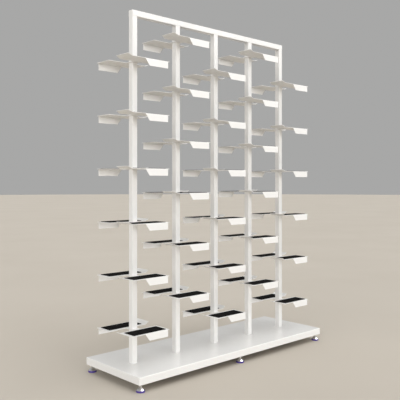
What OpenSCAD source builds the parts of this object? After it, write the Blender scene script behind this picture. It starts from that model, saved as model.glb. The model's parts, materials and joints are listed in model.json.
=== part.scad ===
// Eyeglass display rack: a floor stand of five square-tube posts on a low plinth.
// Every post carries a column of folded sheet trays, each with a front and a rear shelf.
// Millimetres. +X is to the right, +Y to the rear, +Z up.
// The origin is on the floor under the centre of the plinth.

/* [Plinth] */
// Length of the plinth, side to side
plinth_l = 1234; // [900:1:1500]
// Depth of the plinth, front to back
plinth_d = 400; // [300:1:500]
// Height of the plinth
plinth_h = 32; // [24:1:60]
// Height of the plinth's underside above the floor
floor_gap = 34; // [30:0.5:60]
// Sheet thickness of the plinth cover
cover_t = 2; // [1:0.5:3]
// Outer radius of the folded plinth edges
cover_r = 3; // [2.5:0.5:6]
// Width of the plinth's two long box rails
base_rail_w = 36; // [30:1:60]
// Width of the cross members under the posts
cross_w = 40; // [30:1:60]
// Wall of the plinth's box sections
base_wall = 2; // [1.5:0.5:3]

/* [Posts] */
// Distance between neighbouring post centres
pitch = 250; // [200:1:320]
// Width of a post
post_w = 26; // [20:1:40]
// Depth of a post
post_d = 28; // [20:1:40]
// Wall of a post
post_wall = 1.5; // [1:0.5:3]
// Corner radius of a post
post_r = 2; // [1:0.5:4]
// Sideways position of the middle post
frame_x = -13; // [-40:1:40]
// Front to back position of the row of posts
frame_y = -15.5; // [-40:0.5:40]
// Height of the top of the rack above the floor
rack_h = 1622; // [1200:1:1900]
// Height of the top rail's section
rail_h = 26; // [20:1:40]

/* [Trays] */
// Height of the lowest shelf on the first, third and fifth posts
first_odd = 218; // [150:1:300]
// Height of the lowest shelf on the second and fourth posts
first_even = 345; // [250:1:450]
// Height from one tray to the next on a post
tray_pitch = 235; // [200:1:300]
// Sheet thickness of a tray
tray_t = 1.5; // [1:0.5:3]
// Reach of a shelf past the post centre on its long side
shelf_long = 110; // [90:1:130]
// Reach of a shelf past the post centre on its short side, up to the fold
shelf_short = 90; // [70:1:110]
// Distance of the shelf's outer edge from the post centre
shelf_out = 120; // [100:1:150]
// Distance of the shelf's inner edge from the post centre
shelf_in = 26; // [20:1:40]
// Width of the bridge round the post
bridge_w = 40; // [34:1:60]
// Sideways run of the turned-up lip
lip_run = 23; // [10:1:30]
// Slope of the turned-up lip
lip_a = 21; // [5:1:45]
// Depth of the turned-down flange
flange_h = 31; // [15:1:50]
// Outer radius of the flange fold
fold_r = 2.5; // [2:0.5:5]

/* [Mats] */
// Length of a mat
mat_l = 174; // [120:1:190]
// Width of a mat
mat_w = 69.5; // [40:0.5:85]
// Thickness of a mat
mat_t = 2; // [1:0.5:4]

/* [Feet] */
// Inset of the feet from the plinth's long edges
foot_inset_y = 20; // [15:1:40]
// Inset of the end feet from the plinth's ends
foot_inset_x = 20; // [15:1:60]
// Radius of the foot's sole
sole_r = 19; // [15:0.5:25]
// Height of the foot's sole
sole_h = 8; // [4:0.5:10]
// Large radius of the foot's cone
cone_r = 18; // [12:0.5:22]
// Height of the top of the cone above the floor
cone_top = 23; // [16:0.5:28]
// Radius of the foot's threaded stem
stem_r = 4; // [3:0.5:6]
// Height of the top of the stem above the floor
stem_top = 55; // [48:0.5:56]

/* [Hidden] */
$fn = 48;
eps = 1;
levels = 6;
posts = 5;
base_top = floor_gap + plinth_h;
deck_z = base_top - cover_t;
section_bottom = floor_gap + cover_t;
section_h = deck_z - section_bottom;
section_top_in = deck_z - base_wall;
rail_y = plinth_d / 2 - cover_t - base_rail_w / 2;
rail_l = plinth_l - 2 * cover_t - 4;
post_top = rack_h - rail_h;
top_rail_l = (posts - 1) * pitch + post_w;
cap_t = 1.5;
plug_w = post_w - 2 * post_wall;
plug_d = post_d - 2 * post_wall;
plug_l = 30;
spigot_l = 36;
bolt_r = 4;
bolt_hole_r = 4.5;
access_r = 11;
running = 0.05;
gap = 0.3;
journal_r = 5;
journal_z = 2.5;
foot_x = plinth_l / 2 - foot_inset_x;
foot_y = plinth_d / 2 - foot_inset_y;
insert_top = 50;
coat = [0.93, 0.93, 0.92];
zinc = [0.62, 0.63, 0.64];
chrome = [0.8, 0.8, 0.82];
indigo = [0.33, 0.28, 0.52];
black = [0.07, 0.07, 0.08];

function post_x(p) = frame_x + (p - 3) * pitch;
function shelf_z(p, level) = (p % 2 == 1 ? first_odd : first_even) + (level - 1) * tray_pitch;

// Places shapes for foot n: 1 to 3 along the front from the left, 4 to 6 along the rear
module at_foot(n) {
    row = n <= 3 ? -1 : 1;
    col = (n - 1) % 3 - 1;
    translate([col * foot_x, row * foot_y, 0]) children();
}

// Places shapes on the axis of every post
module at_posts() {
    for (p = [1 : posts])
        translate([post_x(p), frame_y, 0]) children();
}

// Rectangle with rounded corners, centred
module rounded(w, d, r) {
    square([w - 2 * r, d], center = true);
    square([w, d - 2 * r], center = true);
    for (sx = [-1, 1], sy = [-1, 1])
        translate([sx * (w / 2 - r), sy * (d / 2 - r)]) circle(r);
}

// Hollow section of a post, seen from above
module post_section() {
    difference() {
        rounded(post_w, post_d, post_r);
        rounded(post_w - 2 * post_wall, post_d - 2 * post_wall, post_r - post_wall);
    }
}

// Centred box section running left to right
module box_along_x(l, w, h, t) {
    rotate([90, 0, 90])
        linear_extrude(height = l, center = true)
            difference() {
                rounded(w, h, t);
                square([w - 2 * t, h - 2 * t], center = true);
            }
}

// Folded plinth shell as a solid block with rounded top edges
module shell_block(l, d, z_low, z_high, r) {
    h = z_high - z_low;
    intersection() {
        translate([0, 0, z_low])
            rotate([90, 0, 90])
                linear_extrude(height = l, center = true)
                    shell_profile(d, h, r);
        translate([0, 0, z_low])
            rotate([90, 0, 0])
                linear_extrude(height = d, center = true)
                    shell_profile(l, h, r);
        translate([0, 0, z_low])
            linear_extrude(height = h)
                rounded(l, d, r);
    }
}

// End outline of the plinth shell: square below, rounded above
module shell_profile(w, h, r) {
    translate([-w / 2, 0]) square([w, h - r]);
    translate([-w / 2 + r, h - 2 * r]) square([w - 2 * r, 2 * r]);
    for (s = [-1, 1])
        translate([s * (w / 2 - r), h - r]) circle(r);
}

// One shelf of a tray with its lip and its flange, in front of the post
module shelf() {
    fold_y = -shelf_out + fold_r;
    flange_left = -22;
    flange_right = shelf_long - 9;
    // flat shelf, rounded at its free end
    translate([0, 0, -tray_t])
        linear_extrude(height = tray_t)
            difference() {
                translate([0, -(shelf_out + shelf_in) / 2])
                    rounded(2 * shelf_long, shelf_out - shelf_in, 2);
                translate([-shelf_long - eps, -shelf_out - eps])
                    square([shelf_long - shelf_short + eps, shelf_out]);
                translate([flange_left, -shelf_out - eps])
                    square([flange_right - flange_left, fold_r + eps]);
            }
    // flange turned down from the outer edge, with a slanted inner end
    intersection() {
        rotate([90, 0, 90])
            translate([0, 0, flange_left])
                linear_extrude(height = flange_right - flange_left)
                    union() {
                        translate([-shelf_out, -flange_h]) square([tray_t, flange_h - fold_r]);
                        translate([fold_y, -fold_r])
                            intersection() {
                                difference() {
                                    circle(fold_r);
                                    circle(fold_r - tray_t);
                                }
                                translate([-2 * fold_r, 0]) square(2 * fold_r);
                            }
                        translate([fold_y, -tray_t]) square([0.5, tray_t]);
                    }
        rotate([90, 0, 0])
            translate([0, 0, -eps])
                linear_extrude(height = shelf_out + 2 * eps)
                    polygon([
                        [flange_left, eps], [flange_right, eps], [flange_right, -flange_h - eps],
                        [0, -flange_h - eps], [flange_left, -fold_r]
                    ]);
    }
    // lip turned up at the short end, chamfered on the side of the post
    lip_l = lip_run / cos(lip_a);
    intersection() {
        rotate([90, 0, 0])
            translate([0, 0, shelf_in])
                linear_extrude(height = shelf_out - shelf_in)
                    polygon([
                        [-shelf_short + 0.5, 0],
                        [-shelf_short, 0],
                        [-shelf_short - lip_run, lip_run * tan(lip_a)],
                        [
                            -shelf_short - lip_run - tray_t * sin(lip_a),
                            lip_run * tan(lip_a) - tray_t * cos(lip_a)
                        ],
                        [-shelf_short - tray_t * tan(lip_a / 2), -tray_t],
                        [-shelf_short + 0.5, -tray_t]
                    ]);
        translate([0, 0, -2 * tray_t])
            linear_extrude(height = lip_l)
                polygon([
                    [-shelf_short + 1, -shelf_out],
                    [-shelf_short - lip_run - 1, -shelf_out],
                    [-shelf_short - lip_run - 1, -shelf_in - 9],
                    [-shelf_short - 3, -shelf_in - 1.5],
                    [-shelf_short + 1, -shelf_in]
                ]);
    }
}

// Whole tray: two shelves turned half round from each other and the bridge round the post
module tray_shape() {
    shelf();
    rotate([0, 0, 180]) shelf();
    translate([0, 0, -tray_t])
        linear_extrude(height = tray_t)
            difference() {
                square([bridge_w, 2 * shelf_in + 1], center = true);
                square([post_w, post_d], center = true);
            }
}

module tray_at(p, level) {
    translate([post_x(p), frame_y, shelf_z(p, level)]) tray_shape();
}

// Soft plastic sole: a rounded disc with a blind bore for the foot's journal
module sole_shape() {
    rotate_extrude()
        difference() {
            union() {
                square([sole_r - 1.5, sole_h]);
                translate([0, 1.5]) square([sole_r, sole_h - 3]);
                translate([sole_r - 1.5, 1.5]) circle(1.5);
                translate([sole_r - 1.5, sole_h - 1.5]) circle(1.5);
            }
            translate([-2 * sole_r, -eps]) square([2 * sole_r, sole_h + 2 * eps]);
            translate([-eps, journal_z - 0.5]) square([journal_r + running + eps, sole_h]);
        }
}

// Turned foot: journal in the sole, cone and threaded stem in one piece
module foot_shape() {
    rotate_extrude()
        polygon([
            [0, journal_z], [journal_r, journal_z], [journal_r, sole_h + gap],
            [cone_r, sole_h + gap], [cone_r, sole_h + gap + 1],
            [stem_r + 1.5, cone_top - 2], [stem_r + 1.5, cone_top], [stem_r, cone_top],
            [stem_r, stem_top - 1], [stem_r - 1, stem_top], [0, stem_top]
        ]);
}

module base_cover() {
    color(coat)
        difference() {
            shell_block(plinth_l, plinth_d, floor_gap, base_top, cover_r);
            shell_block(
                plinth_l - 2 * cover_t, plinth_d - 2 * cover_t,
                floor_gap - eps, deck_z, cover_r - cover_t
            );
            at_posts() translate([0, 0, deck_z - eps]) cylinder(h = cover_t + 2 * eps, r = bolt_hole_r);
        }
}

// Long box rail of the plinth, with holes for the three foot inserts
module base_rail_at(side) {
    difference() {
        translate([0, side * rail_y, section_bottom + section_h / 2])
            box_along_x(rail_l, base_rail_w, section_h, base_wall);
        for (sx = [-1, 0, 1])
            translate([sx * foot_x, side * foot_y, section_bottom - eps])
                cylinder(h = base_wall + 2 * eps, r = 5.5);
    }
}

module base_rail_front() {
    color(coat) base_rail_at(-1);
}

module base_rail_rear() {
    color(coat) base_rail_at(1);
}

module base_cross_members() {
    cross_l = 2 * (rail_y - base_rail_w / 2);
    color(coat)
        difference() {
            for (p = [1 : posts])
                translate([post_x(p), 0, section_bottom + section_h / 2])
                    rotate([0, 0, 90]) box_along_x(cross_l, cross_w, section_h, base_wall);
            at_posts() {
                translate([0, 0, section_top_in - eps]) cylinder(h = base_wall + 2 * eps, r = bolt_hole_r);
                translate([0, 0, section_bottom - eps]) cylinder(h = base_wall + 2 * eps, r = access_r);
            }
        }
}

module post_at(p) {
    difference() {
        translate([post_x(p), frame_y, base_top])
            linear_extrude(height = post_top - base_top) post_section();
        translate([post_x(p), frame_y, post_top - spigot_l / 2])
            rotate([-90, 0, 0]) cylinder(h = post_d, r = 2.7);
    }
}

module post_1() {
    color(coat) post_at(1);
}

module post_2() {
    color(coat) post_at(2);
}

module post_3() {
    color(coat) post_at(3);
}

module post_4() {
    color(coat) post_at(4);
}

module post_5() {
    color(coat) post_at(5);
}

module top_rail() {
    color(coat)
        translate([frame_x, frame_y, rack_h - rail_h / 2])
            rotate([90, 0, 90])
                linear_extrude(height = top_rail_l - 2 * cap_t, center = true)
                    difference() {
                        rounded(post_d, rail_h, post_r);
                        rounded(post_d - 2 * post_wall, rail_h - 2 * post_wall, post_r - post_wall);
                    }
}

// Flat end plates of the top rail, each with a stub that fits inside the tube
module rail_end_caps() {
    color(coat)
        for (s = [-1, 1])
            translate([frame_x + s * (top_rail_l / 2 - cap_t), frame_y, rack_h - rail_h / 2])
                rotate([90, 0, 90 * s]) {
                    linear_extrude(height = cap_t) rounded(post_d, rail_h, post_r);
                    translate([0, 0, -10])
                        linear_extrude(height = 10 + cap_t / 2) rounded(plug_d, rail_h - 2 * post_wall, 1);
                }
}

// Threaded blocks welded in the feet of the posts
module post_plugs() {
    color(zinc)
        at_posts()
            difference() {
                translate([0, 0, base_top]) linear_extrude(height = plug_l) rounded(plug_w, plug_d, 1);
                translate([0, 0, base_top - eps]) cylinder(h = plug_l + 2 * eps, r = bolt_r + running);
            }
}

// Flanged hexagon bolts that hold the posts down, from inside the cross members
module post_bolts() {
    color(zinc)
        at_posts() {
            translate([0, 0, section_top_in - 1.6]) cylinder(h = 1.6, r = 8.5);
            translate([0, 0, section_top_in - 6.8]) cylinder(h = 5.6, r = 7.5, $fn = 6);
            translate([0, 0, section_top_in - 1]) cylinder(h = 27, r = bolt_r);
        }
}

// Blocks welded under the top rail, one inside the head of each post
module top_spigots() {
    color(zinc)
        at_posts()
            difference() {
                translate([0, 0, post_top - spigot_l])
                    linear_extrude(height = spigot_l) rounded(plug_w, plug_d, 1);
                translate([0, 0, post_top - spigot_l / 2])
                    rotate([-90, 0, 0]) cylinder(h = post_d, r = 2.5 + running);
            }
}

// Button-head screws from the rear that lock the posts to the spigots
module top_screws() {
    color(zinc)
        at_posts()
            translate([0, 0, post_top - spigot_l / 2])
                rotate([-90, 0, 0])
                    difference() {
                        union() {
                            translate([0, 0, 3]) cylinder(h = post_d / 2 - 2.5, r = 2.5);
                            translate([0, 0, post_d / 2]) cylinder(h = 1.2, r = 4.75);
                            translate([0, 0, post_d / 2 + 1.2]) cylinder(h = 1.3, r1 = 4.75, r2 = 3);
                        }
                        translate([0, 0, post_d / 2 + 0.9]) cylinder(h = 3, r = 1.7, $fn = 6);
                    }
}

// Flanged thread inserts for the six feet
module foot_inserts() {
    color(zinc)
        for (n = [1 : 6])
            at_foot(n)
                difference() {
                    union() {
                        translate([0, 0, section_bottom - 1.2]) cylinder(h = 1.2, r = 7.5);
                        translate([0, 0, section_bottom - 0.6])
                            cylinder(h = insert_top - section_bottom + 0.6, r = 5.5);
                    }
                    translate([0, 0, section_bottom - 3]) cylinder(h = 30, r = stem_r + running);
                }
}

// Black mats on both shelves of every tray
module tray_mats() {
    mat_x = shelf_long - 13.5 - mat_l / 2;
    mat_y = shelf_out - 10 - mat_w / 2;
    color(black)
        for (p = [1 : posts], level = [1 : levels], turn = [0, 180])
            translate([post_x(p), frame_y, shelf_z(p, level)])
                rotate([0, 0, turn])
                    translate([mat_x, -mat_y, 0]) linear_extrude(height = mat_t) rounded(mat_l, mat_w, 1.5);
}

module tray_1_1() {
    color(coat) tray_at(1, 1);
}

module tray_1_2() {
    color(coat) tray_at(1, 2);
}

module tray_1_3() {
    color(coat) tray_at(1, 3);
}

module tray_1_4() {
    color(coat) tray_at(1, 4);
}

module tray_1_5() {
    color(coat) tray_at(1, 5);
}

module tray_1_6() {
    color(coat) tray_at(1, 6);
}

module tray_2_1() {
    color(coat) tray_at(2, 1);
}

module tray_2_2() {
    color(coat) tray_at(2, 2);
}

module tray_2_3() {
    color(coat) tray_at(2, 3);
}

module tray_2_4() {
    color(coat) tray_at(2, 4);
}

module tray_2_5() {
    color(coat) tray_at(2, 5);
}

module tray_2_6() {
    color(coat) tray_at(2, 6);
}

module tray_3_1() {
    color(coat) tray_at(3, 1);
}

module tray_3_2() {
    color(coat) tray_at(3, 2);
}

module tray_3_3() {
    color(coat) tray_at(3, 3);
}

module tray_3_4() {
    color(coat) tray_at(3, 4);
}

module tray_3_5() {
    color(coat) tray_at(3, 5);
}

module tray_3_6() {
    color(coat) tray_at(3, 6);
}

module tray_4_1() {
    color(coat) tray_at(4, 1);
}

module tray_4_2() {
    color(coat) tray_at(4, 2);
}

module tray_4_3() {
    color(coat) tray_at(4, 3);
}

module tray_4_4() {
    color(coat) tray_at(4, 4);
}

module tray_4_5() {
    color(coat) tray_at(4, 5);
}

module tray_4_6() {
    color(coat) tray_at(4, 6);
}

module tray_5_1() {
    color(coat) tray_at(5, 1);
}

module tray_5_2() {
    color(coat) tray_at(5, 2);
}

module tray_5_3() {
    color(coat) tray_at(5, 3);
}

module tray_5_4() {
    color(coat) tray_at(5, 4);
}

module tray_5_5() {
    color(coat) tray_at(5, 5);
}

module tray_5_6() {
    color(coat) tray_at(5, 6);
}

module sole_1() {
    color(indigo) at_foot(1) sole_shape();
}

module sole_2() {
    color(indigo) at_foot(2) sole_shape();
}

module sole_3() {
    color(indigo) at_foot(3) sole_shape();
}

module sole_4() {
    color(indigo) at_foot(4) sole_shape();
}

module sole_5() {
    color(indigo) at_foot(5) sole_shape();
}

module sole_6() {
    color(indigo) at_foot(6) sole_shape();
}

module foot_1() {
    color(chrome) at_foot(1) foot_shape();
}

module foot_2() {
    color(chrome) at_foot(2) foot_shape();
}

module foot_3() {
    color(chrome) at_foot(3) foot_shape();
}

module foot_4() {
    color(chrome) at_foot(4) foot_shape();
}

module foot_5() {
    color(chrome) at_foot(5) foot_shape();
}

module foot_6() {
    color(chrome) at_foot(6) foot_shape();
}

base_cover();
base_rail_front();
base_rail_rear();
base_cross_members();
post_1();
post_2();
post_3();
post_4();
post_5();
top_rail();
rail_end_caps();
post_plugs();
post_bolts();
top_spigots();
top_screws();
foot_inserts();
tray_mats();
tray_1_1();
tray_1_2();
tray_1_3();
tray_1_4();
tray_1_5();
tray_1_6();
tray_2_1();
tray_2_2();
tray_2_3();
tray_2_4();
tray_2_5();
tray_2_6();
tray_3_1();
tray_3_2();
tray_3_3();
tray_3_4();
tray_3_5();
tray_3_6();
tray_4_1();
tray_4_2();
tray_4_3();
tray_4_4();
tray_4_5();
tray_4_6();
tray_5_1();
tray_5_2();
tray_5_3();
tray_5_4();
tray_5_5();
tray_5_6();
sole_1();
sole_2();
sole_3();
sole_4();
sole_5();
sole_6();
foot_1();
foot_2();
foot_3();
foot_4();
foot_5();
foot_6();
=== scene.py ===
"""Eyeglass display rack: materials, mats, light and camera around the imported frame. Metres."""

import json
import math

import bmesh
import bpy
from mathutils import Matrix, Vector


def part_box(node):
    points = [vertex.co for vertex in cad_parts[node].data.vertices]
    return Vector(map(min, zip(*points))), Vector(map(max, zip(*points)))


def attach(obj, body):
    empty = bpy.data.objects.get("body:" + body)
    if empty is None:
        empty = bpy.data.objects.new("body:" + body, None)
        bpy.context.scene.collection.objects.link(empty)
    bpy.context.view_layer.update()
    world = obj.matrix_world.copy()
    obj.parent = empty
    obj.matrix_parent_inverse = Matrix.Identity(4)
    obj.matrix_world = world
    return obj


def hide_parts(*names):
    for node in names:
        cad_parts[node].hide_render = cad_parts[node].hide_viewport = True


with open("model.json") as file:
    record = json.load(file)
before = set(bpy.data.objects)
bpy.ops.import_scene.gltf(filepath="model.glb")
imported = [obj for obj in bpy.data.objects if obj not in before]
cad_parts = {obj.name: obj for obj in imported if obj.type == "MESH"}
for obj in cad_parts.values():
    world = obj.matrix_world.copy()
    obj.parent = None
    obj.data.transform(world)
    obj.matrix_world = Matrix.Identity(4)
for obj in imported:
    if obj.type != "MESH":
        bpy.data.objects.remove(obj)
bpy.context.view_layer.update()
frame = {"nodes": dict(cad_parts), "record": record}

# ---------------------------------------------------------------- camera

CAMERA_AT = (-2.1044, -2.1567, 0.8644)
CAMERA_TILT = math.radians(90.0)
CAMERA_TURN = math.radians(-42.98)
CAMERA_LENS_MM = 54.04
CAMERA_SENSOR_MM = 36.0
CAMERA_SHIFT_Y = -0.0448


def make_camera():
    """A level camera in front of the rack and to its left, shifted down a little."""
    data = bpy.data.cameras.new("camera")
    data.lens = CAMERA_LENS_MM
    data.sensor_width = CAMERA_SENSOR_MM
    data.shift_y = CAMERA_SHIFT_Y
    camera = bpy.data.objects.new("camera", data)
    camera.location = CAMERA_AT
    camera.rotation_euler = (CAMERA_TILT, 0.0, CAMERA_TURN)
    bpy.context.collection.objects.link(camera)
    bpy.context.scene.camera = camera


make_camera()

# ---------------------------------------------------------------- material helpers

# The part of a noise texture's range that spread() uses
NOISE_LOW = 0.3
NOISE_HIGH = 0.7


class Nodes:
    """A new material with short calls for its nodes. Texture coordinates are in metres."""

    def __init__(self, name):
        self.material = bpy.data.materials.new(name)
        self.material.use_nodes = True
        self.tree = self.material.node_tree
        self.shader = self.tree.nodes["Principled BSDF"]
        self.coordinates = self.add("ShaderNodeTexCoord")

    def add(self, kind, **settings):
        node = self.tree.nodes.new(kind)
        for key, value in settings.items():
            setattr(node, key, value)
        return node

    def join(self, source, target):
        self.tree.links.new(source, target)

    def mapping(self, stretch):
        node = self.add("ShaderNodeMapping")
        node.inputs["Scale"].default_value = stretch
        self.join(self.coordinates.outputs["Object"], node.inputs["Vector"])
        return node.outputs["Vector"]

    def noise(self, scale, detail, stretch=(1.0, 1.0, 1.0)):
        """A noise texture's value. A larger scale gives smaller features."""
        node = self.add("ShaderNodeTexNoise")
        node.inputs["Scale"].default_value = scale
        node.inputs["Detail"].default_value = detail
        node.inputs["Roughness"].default_value = 0.5
        self.join(self.mapping(stretch), node.inputs["Vector"])
        return node.outputs["Fac"]

    def cells(self, scale):
        """The distance to the nearest of many scattered points."""
        node = self.add("ShaderNodeTexVoronoi")
        node.inputs["Scale"].default_value = scale
        self.join(self.mapping((1.0, 1.0, 1.0)), node.inputs["Vector"])
        return node.outputs["Distance"]

    def spread(self, value, low, high):
        """Maps a noise value between NOISE_LOW and NOISE_HIGH to low and high."""
        node = self.add("ShaderNodeMapRange")
        node.inputs["From Min"].default_value = NOISE_LOW
        node.inputs["From Max"].default_value = NOISE_HIGH
        node.inputs["To Min"].default_value = low
        node.inputs["To Max"].default_value = high
        self.join(value, node.inputs["Value"])
        return node.outputs["Result"]

    def colours(self, first, second, scale, detail):
        """Patches of two base colours that run into each other."""
        mask = self.spread(self.noise(scale, detail), 0.0, 1.0)
        node = self.add("ShaderNodeMix", data_type="RGBA")
        self.join(mask, node.inputs["Factor"])
        for key, colour in (("A", first), ("B", second)):
            socket = [s for s in node.inputs if s.name == key and s.type == "RGBA"][0]
            socket.default_value = (*colour, 1.0)
        mixed = [s for s in node.outputs if s.type == "RGBA"][0]
        self.join(mixed, self.shader.inputs["Base Color"])

    def roughness(self, low, high, scale, detail):
        """Patches of roughness between low and high."""
        rough = self.spread(self.noise(scale, detail), low, high)
        self.join(rough, self.shader.inputs["Roughness"])

    def bumps(self, *layers):
        """Bump from (height, depth in metres) pairs, one on top of the other."""
        previous = None
        for height, depth in layers:
            node = self.add("ShaderNodeBump")
            node.inputs["Strength"].default_value = 1.0
            node.inputs["Distance"].default_value = depth
            self.join(height, node.inputs["Height"])
            if previous:
                self.join(previous, node.inputs["Normal"])
            previous = node.outputs["Normal"]
        self.join(previous, self.shader.inputs["Normal"])

    def set(self, **values):
        """Sets inputs of the shader. An underscore stands for a space in the input's name."""
        for key, value in values.items():
            self.shader.inputs[key.replace("_", " ")].default_value = value


# ---------------------------------------------------------------- materials

COAT_TINT = (0.85, 0.843, 0.828)
COAT_SHADE = (0.835, 0.826, 0.808)


def powder_coat(name, rough_low, rough_high, peel):
    """White powder coat: orange peel of depth peel, uneven gloss and a slightly uneven white."""
    m = Nodes(name)
    m.colours(COAT_TINT, COAT_SHADE, scale=9.0, detail=4.0)
    m.roughness(rough_low, rough_high, scale=35.0, detail=4.0)
    orange_peel = m.noise(scale=650.0, detail=2.0)
    powder_grain = m.noise(scale=1800.0, detail=2.0)
    m.bumps((orange_peel, peel), (powder_grain, peel * 0.3))
    m.set(IOR=1.5)
    return m.material


def mat_rubber():
    """Black mat with a fine pebbled grain."""
    m = Nodes("mat_rubber")
    m.colours((0.006, 0.006, 0.006), (0.012, 0.0115, 0.011), scale=60.0, detail=4.0)
    m.roughness(0.55, 0.72, scale=220.0, detail=3.0)
    pebbles = m.cells(scale=1100.0)
    fine_grain = m.noise(scale=2600.0, detail=2.0)
    m.bumps((pebbles, 0.00012), (fine_grain, 0.00003))
    m.set(IOR=1.45, Specular_IOR_Level=0.01)
    return m.material


def sole_plastic():
    """Indigo moulded plastic with a satin skin."""
    m = Nodes("sole_plastic")
    m.colours((0.075, 0.045, 0.27), (0.095, 0.06, 0.31), scale=160.0, detail=3.0)
    m.roughness(0.3, 0.45, scale=400.0, detail=3.0)
    mould_skin = m.noise(scale=1500.0, detail=2.0)
    m.bumps((mould_skin, 0.00002))
    m.set(IOR=1.5)
    return m.material


def turned_chrome():
    """Bright chrome with faint lathe lines round the axis and a slightly uneven polish."""
    m = Nodes("turned_chrome")
    lathe_lines = m.noise(scale=1.0, detail=1.0, stretch=(4.0, 4.0, 3800.0))
    m.colours((0.84, 0.85, 0.87), (0.9, 0.905, 0.92), scale=300.0, detail=3.0)
    m.roughness(0.16, 0.24, scale=180.0, detail=4.0)
    m.bumps((lathe_lines, 0.00001))
    m.set(Metallic=1.0)
    return m.material


def zinc_plate():
    """Dull zinc plating with cloudy patches."""
    m = Nodes("zinc_plate")
    m.colours((0.5, 0.51, 0.53), (0.66, 0.66, 0.64), scale=140.0, detail=5.0)
    m.roughness(0.3, 0.48, scale=260.0, detail=4.0)
    crystals = m.noise(scale=1200.0, detail=3.0)
    m.bumps((crystals, 0.00002))
    m.set(Metallic=1.0)
    return m.material


def floor_paint():
    """Plain pale studio floor."""
    m = Nodes("floor_paint")
    m.colours((0.57, 0.52, 0.45), (0.595, 0.545, 0.475), scale=0.8, detail=3.0)
    m.roughness(0.8, 0.9, scale=3.0, detail=3.0)
    texture = m.noise(scale=300.0, detail=2.0)
    m.bumps((texture, 0.00005))
    m.set(Specular_IOR_Level=0.1)
    return m.material


materials = {
    "white_coat": powder_coat("white_coat_powder", rough_low=0.36, rough_high=0.48, peel=0.00006),
    "plinth_coat": powder_coat("plinth_coat_powder", rough_low=0.2, rough_high=0.26, peel=0.00001),
    "black_mat": mat_rubber(),
    "indigo_plastic": sole_plastic(),
    "chrome": turned_chrome(),
    "zinc_plated": zinc_plate(),
}


def dress_nodes():
    """Gives every CAD node the material of its slot in the record."""
    for part in frame["record"]["subparts"]:
        node = frame["nodes"][part["node"]]
        node.data.materials.clear()
        node.data.materials.append(materials[part["material_slot"]])


dress_nodes()

# ---------------------------------------------------------------- mats

POSTS = 5
LEVELS = 6
# From the lower edge of a tray's flange up to the top of its shelf
FLANGE_H = 0.031
# A front mat's centre, from the centre of its tray's box
MAT_CENTRE = (0.0095, -0.07525)
MAT_L = 0.174
MAT_W = 0.0695
MAT_T = 0.002
# Radius of a mat's corners, and of its rounded upper edge
MAT_CORNER = 0.0015
MAT_EDGE = 0.0006
CORNER_STEPS = 5
EDGE_STEPS = 4


def mat_outline(inset):
    """Points round a mat's rounded rectangle, drawn in by inset."""
    radius = MAT_CORNER - inset
    half_l = MAT_L / 2 - MAT_CORNER
    half_w = MAT_W / 2 - MAT_CORNER
    points = []
    for quarter, (sx, sy) in enumerate(((1, 1), (-1, 1), (-1, -1), (1, -1))):
        for step in range(CORNER_STEPS + 1):
            angle = math.radians(90.0 * (quarter + step / CORNER_STEPS))
            x = sx * half_l + radius * math.cos(angle)
            y = sy * half_w + radius * math.sin(angle)
            points.append((x, y))
    return points


def mat_rings():
    """(outline, height) from the underside up over the softly rounded top edge."""
    rings = [(mat_outline(0.0), 0.0)]
    for step in range(EDGE_STEPS + 1):
        angle = math.radians(90.0 * step / EDGE_STEPS)
        inset = MAT_EDGE * (1.0 - math.cos(angle))
        rings.append((mat_outline(inset), MAT_T - MAT_EDGE * (1.0 - math.sin(angle))))
    return rings


def add_mat(shape, centre_x, centre_y, shelf_z, side):
    """One mat on a shelf. side is 1 for a front shelf and -1 for a rear one, turned half round."""
    rings = []
    for outline, height in mat_rings():
        ring = []
        for x, y in outline:
            at = (
                centre_x + side * (MAT_CENTRE[0] + x),
                centre_y + side * (MAT_CENTRE[1] + y),
                shelf_z + height,
            )
            ring.append(shape.verts.new(at))
        rings.append(ring)
    count = len(rings[0])
    for low, high in zip(rings, rings[1:]):
        for k in range(count):
            after = (k + 1) % count
            face = shape.faces.new((low[k], low[after], high[after], high[k]))
            face.smooth = True
    shape.faces.new(rings[-1])
    shape.faces.new(list(reversed(rings[0])))


def make_mats():
    """The black mats of all the trays, placed from the trays' own boxes."""
    shape = bmesh.new()
    for post in range(1, POSTS + 1):
        for level in range(1, LEVELS + 1):
            low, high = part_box(f"tray_{post}_{level}")
            centre_x = (low[0] + high[0]) / 2
            centre_y = (low[1] + high[1]) / 2
            for side in (1, -1):
                add_mat(shape, centre_x, centre_y, low[2] + FLANGE_H, side)
    mesh = bpy.data.meshes.new("shelf_mats")
    shape.to_mesh(mesh)
    shape.free()
    mats = bpy.data.objects.new("shelf_mats", mesh)
    bpy.context.collection.objects.link(mats)
    mats.data.materials.append(materials["black_mat"])
    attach(mats, "rack")
    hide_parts("tray_mats")


make_mats()

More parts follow.
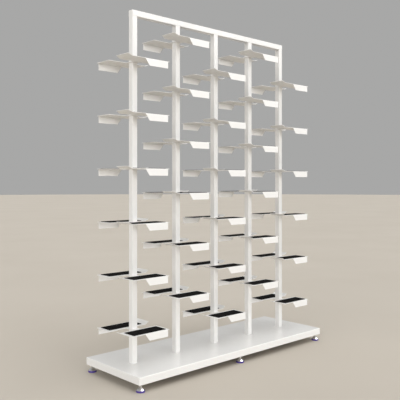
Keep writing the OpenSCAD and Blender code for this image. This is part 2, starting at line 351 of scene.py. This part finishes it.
# ---------------------------------------------------------------- floor, light

FLOOR_RADIUS = 40.0
FLOOR_SEGMENTS = 96
WORLD_COLOUR = (0.32, 0.32, 0.317)
WORLD_STRENGTH = 1.22
WIDE_DEGREES = 60.0
KEY_DEGREES = 24.0


def make_floor():
    """A round floor under the rack that ends far behind it."""
    mesh = bpy.data.meshes.new("floor")
    shape = bmesh.new()
    bmesh.ops.create_circle(shape, cap_ends=True, radius=FLOOR_RADIUS, segments=FLOOR_SEGMENTS)
    shape.to_mesh(mesh)
    shape.free()
    floor = bpy.data.objects.new("floor", mesh)
    bpy.context.collection.objects.link(floor)
    floor.data.materials.append(floor_paint())


def make_world():
    """Even grey surroundings."""
    world = bpy.data.worlds.new("studio")
    world.use_nodes = True
    background = world.node_tree.nodes["Background"]
    background.inputs["Color"].default_value = (*WORLD_COLOUR, 1.0)
    background.inputs["Strength"].default_value = WORLD_STRENGTH
    bpy.context.scene.world = world


def soft_light(name, comes_from, strength, degrees=WIDE_DEGREES, diffuse=True, glossy=True):
    """A far light, degrees across in the sky. It can be kept to reflections, or out of them."""
    data = bpy.data.lights.new(name, "SUN")
    data.angle = math.radians(degrees)
    data.energy = strength
    light = bpy.data.objects.new(name, data)
    light.visible_diffuse = diffuse
    light.visible_glossy = glossy
    light.rotation_euler = (-Vector(comes_from)).to_track_quat("-Z", "Y").to_euler()
    bpy.context.collection.objects.link(light)


def make_lights():
    """Light from the front, the sides, above and behind. Only top and gloss are reflected."""
    soft_light("key", (-0.1, -1.0, 0.05), 1.75, degrees=KEY_DEGREES, glossy=False)
    soft_light("fill_left", (-1.0, -0.15, 0.25), 1.5, glossy=False)
    soft_light("fill_right", (1.0, -0.1, 0.2), 0.6, glossy=False)
    soft_light("top", (0.1, -0.45, 1.0), 1.1)
    soft_light("gloss", (0.5, -0.75, 0.72), 2.8, diffuse=False)
    soft_light("back", (0.3, 1.0, 0.35), 0.8, glossy=False)


make_floor()
make_world()
make_lights()
bpy.context.scene.view_settings.view_transform = "Standard"
